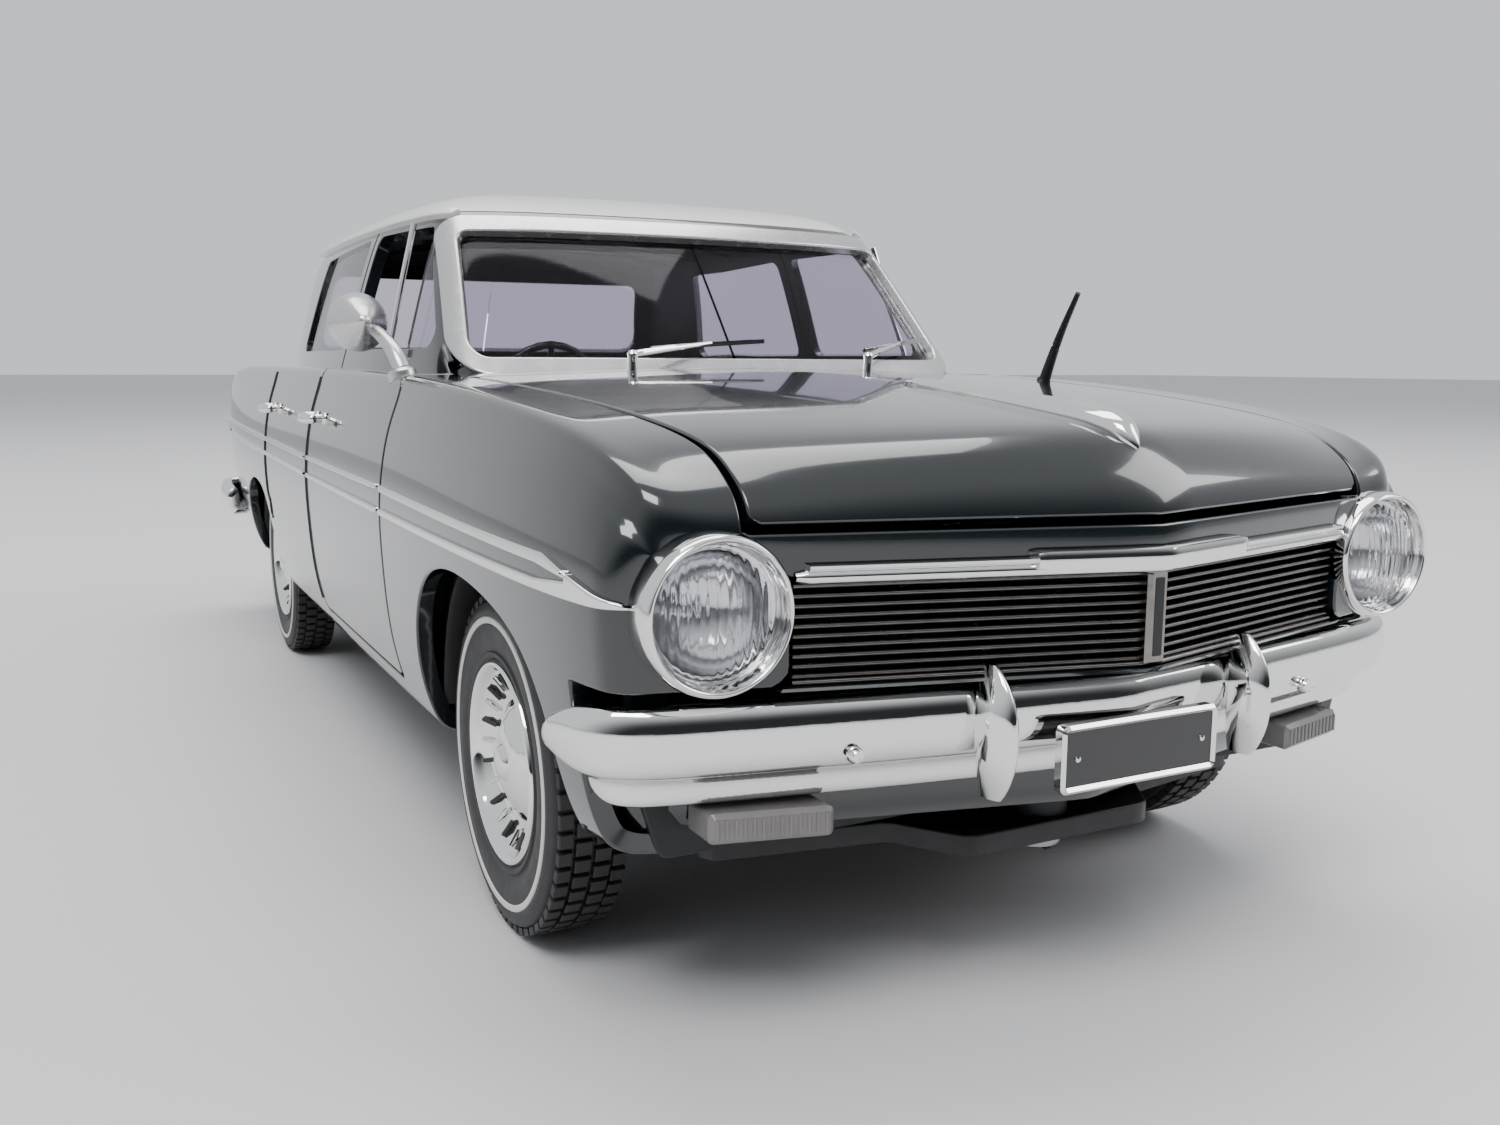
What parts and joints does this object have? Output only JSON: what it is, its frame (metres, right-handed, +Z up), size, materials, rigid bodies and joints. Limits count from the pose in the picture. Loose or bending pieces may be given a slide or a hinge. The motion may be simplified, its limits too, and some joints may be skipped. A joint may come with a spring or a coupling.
{
  "type": "diecast collector car",
  "caption": "Small-scale four-door saloon car in diecast metal and plastic, with opening front doors, bonnet and boot lid, a fitted cabin and engine bay, and rolling wheels.",
  "frame": {"origin": "on the ground under the middle of the car's overall box", "axes": "-Y towards the nose, +Y towards the tail, +X to the car's left side, +Z up"},
  "size_m": [0.0565, 0.1431, 0.0467],
  "materials": {
    "body_paint": "gloss enamel",
    "bright": "vacuum-plated",
    "grille_dark": "plated with a dark wash",
    "silver_paint": "satin silver",
    "screen_glass": "clear, lightly tinted",
    "lamp_glass": "clear, fluted",
    "lamp_red": "clear red",
    "plate_black": "gloss",
    "black_plastic": "satin",
    "trim_plastic": "satin",
    "wheel_plastic": "gloss",
    "steel": "plain",
    "engine_paint": "satin",
    "tyre_rubber": "matte with a white line"
  },
  "bodies": {
    "shell": {"body_casting": "body_paint", "windscreen_glass": "screen_glass", "rear_glass": "screen_glass", "windscreen_frame": "bright", "rear_window_frame": "bright", "side_mouldings": "bright", "rear_door_handles": "bright", "grille": "grille_dark", "grille_top_moulding": "bright", "headlamp_bezels": "bright", "headlamp_lenses": "lamp_glass", "headlamp_reflectors": "bright", "front_bumper": "bright", "rear_bumper": "bright", "overriders": "bright", "plate_frames": "bright", "number_plates": "plate_black", "indicator_lenses": "lamp_glass", "tail_lamp_lenses": "lamp_red", "tail_lamp_bezels": "bright", "wipers": "silver_paint", "aerial": "black_plastic", "dashboard": "black_plastic", "steering_wheel": "wheel_plastic", "interior_tub": "black_plastic", "front_bench": "trim_plastic", "rear_bench": "trim_plastic", "parcel_shelf": "black_plastic", "chassis_plate": "black_plastic", "chassis_screws": "steel", "wheel_wells": "black_plastic", "boot_floor": "black_plastic", "rear_axle_housing": "engine_paint", "exhaust": "silver_paint", "engine_block": "engine_paint", "rocker_cover": "silver_paint", "air_cleaner": "black_plastic", "radiator": "black_plastic", "battery": "black_plastic"},
    "door_right": {"door_right_shell": "body_paint", "door_right_glass": "screen_glass", "door_right_moulding": "bright", "door_right_handle": "bright", "door_right_card": "trim_plastic", "door_right_mirror": "bright"},
    "door_left": {"door_left_shell": "body_paint", "door_left_glass": "screen_glass", "door_left_moulding": "bright", "door_left_handle": "bright", "door_left_card": "trim_plastic"},
    "bonnet": {"bonnet_panel": "body_paint", "bonnet_ornament": "bright"},
    "boot_lid": {"boot_lid_panel": "body_paint", "boot_strip": "bright"},
    "front_axle": {"front_axle_rod": "steel", "front_tyres": "tyre_rubber", "front_wheels": "bright"},
    "rear_axle": {"rear_axle_rod": "steel", "rear_tyres": "tyre_rubber", "rear_wheels": "bright"}
  },
  "joints": [
    {"name": "door_right_hinge", "type": "hinge", "parent": "shell", "child": "door_right", "pos_m": [-0.0267, -0.0266, 0.02], "axis": [0, 0, 1], "range_deg": [0, 60]},
    {"name": "door_left_hinge", "type": "hinge", "parent": "shell", "child": "door_left", "pos_m": [0.0267, -0.0266, 0.02], "axis": [0, 0, -1], "range_deg": [0, 60]},
    {"name": "bonnet_hinge", "type": "hinge", "parent": "shell", "child": "bonnet", "pos_m": [0, -0.0305, 0.0322], "axis": [-1, 0, 0], "range_deg": [0, 55]},
    {"name": "boot_hinge", "type": "hinge", "parent": "shell", "child": "boot_lid", "pos_m": [0, 0.0457, 0.032], "axis": [1, 0, 0], "range_deg": [0, 55]},
    {"name": "front_axle_spin", "type": "hinge", "parent": "shell", "child": "front_axle", "pos_m": [0, -0.0446, 0.00985], "axis": [1, 0, 0], "continuous": true},
    {"name": "rear_axle_spin", "type": "hinge", "parent": "shell", "child": "rear_axle", "pos_m": [0, 0.0388, 0.00985], "axis": [1, 0, 0], "continuous": true}
  ]
}
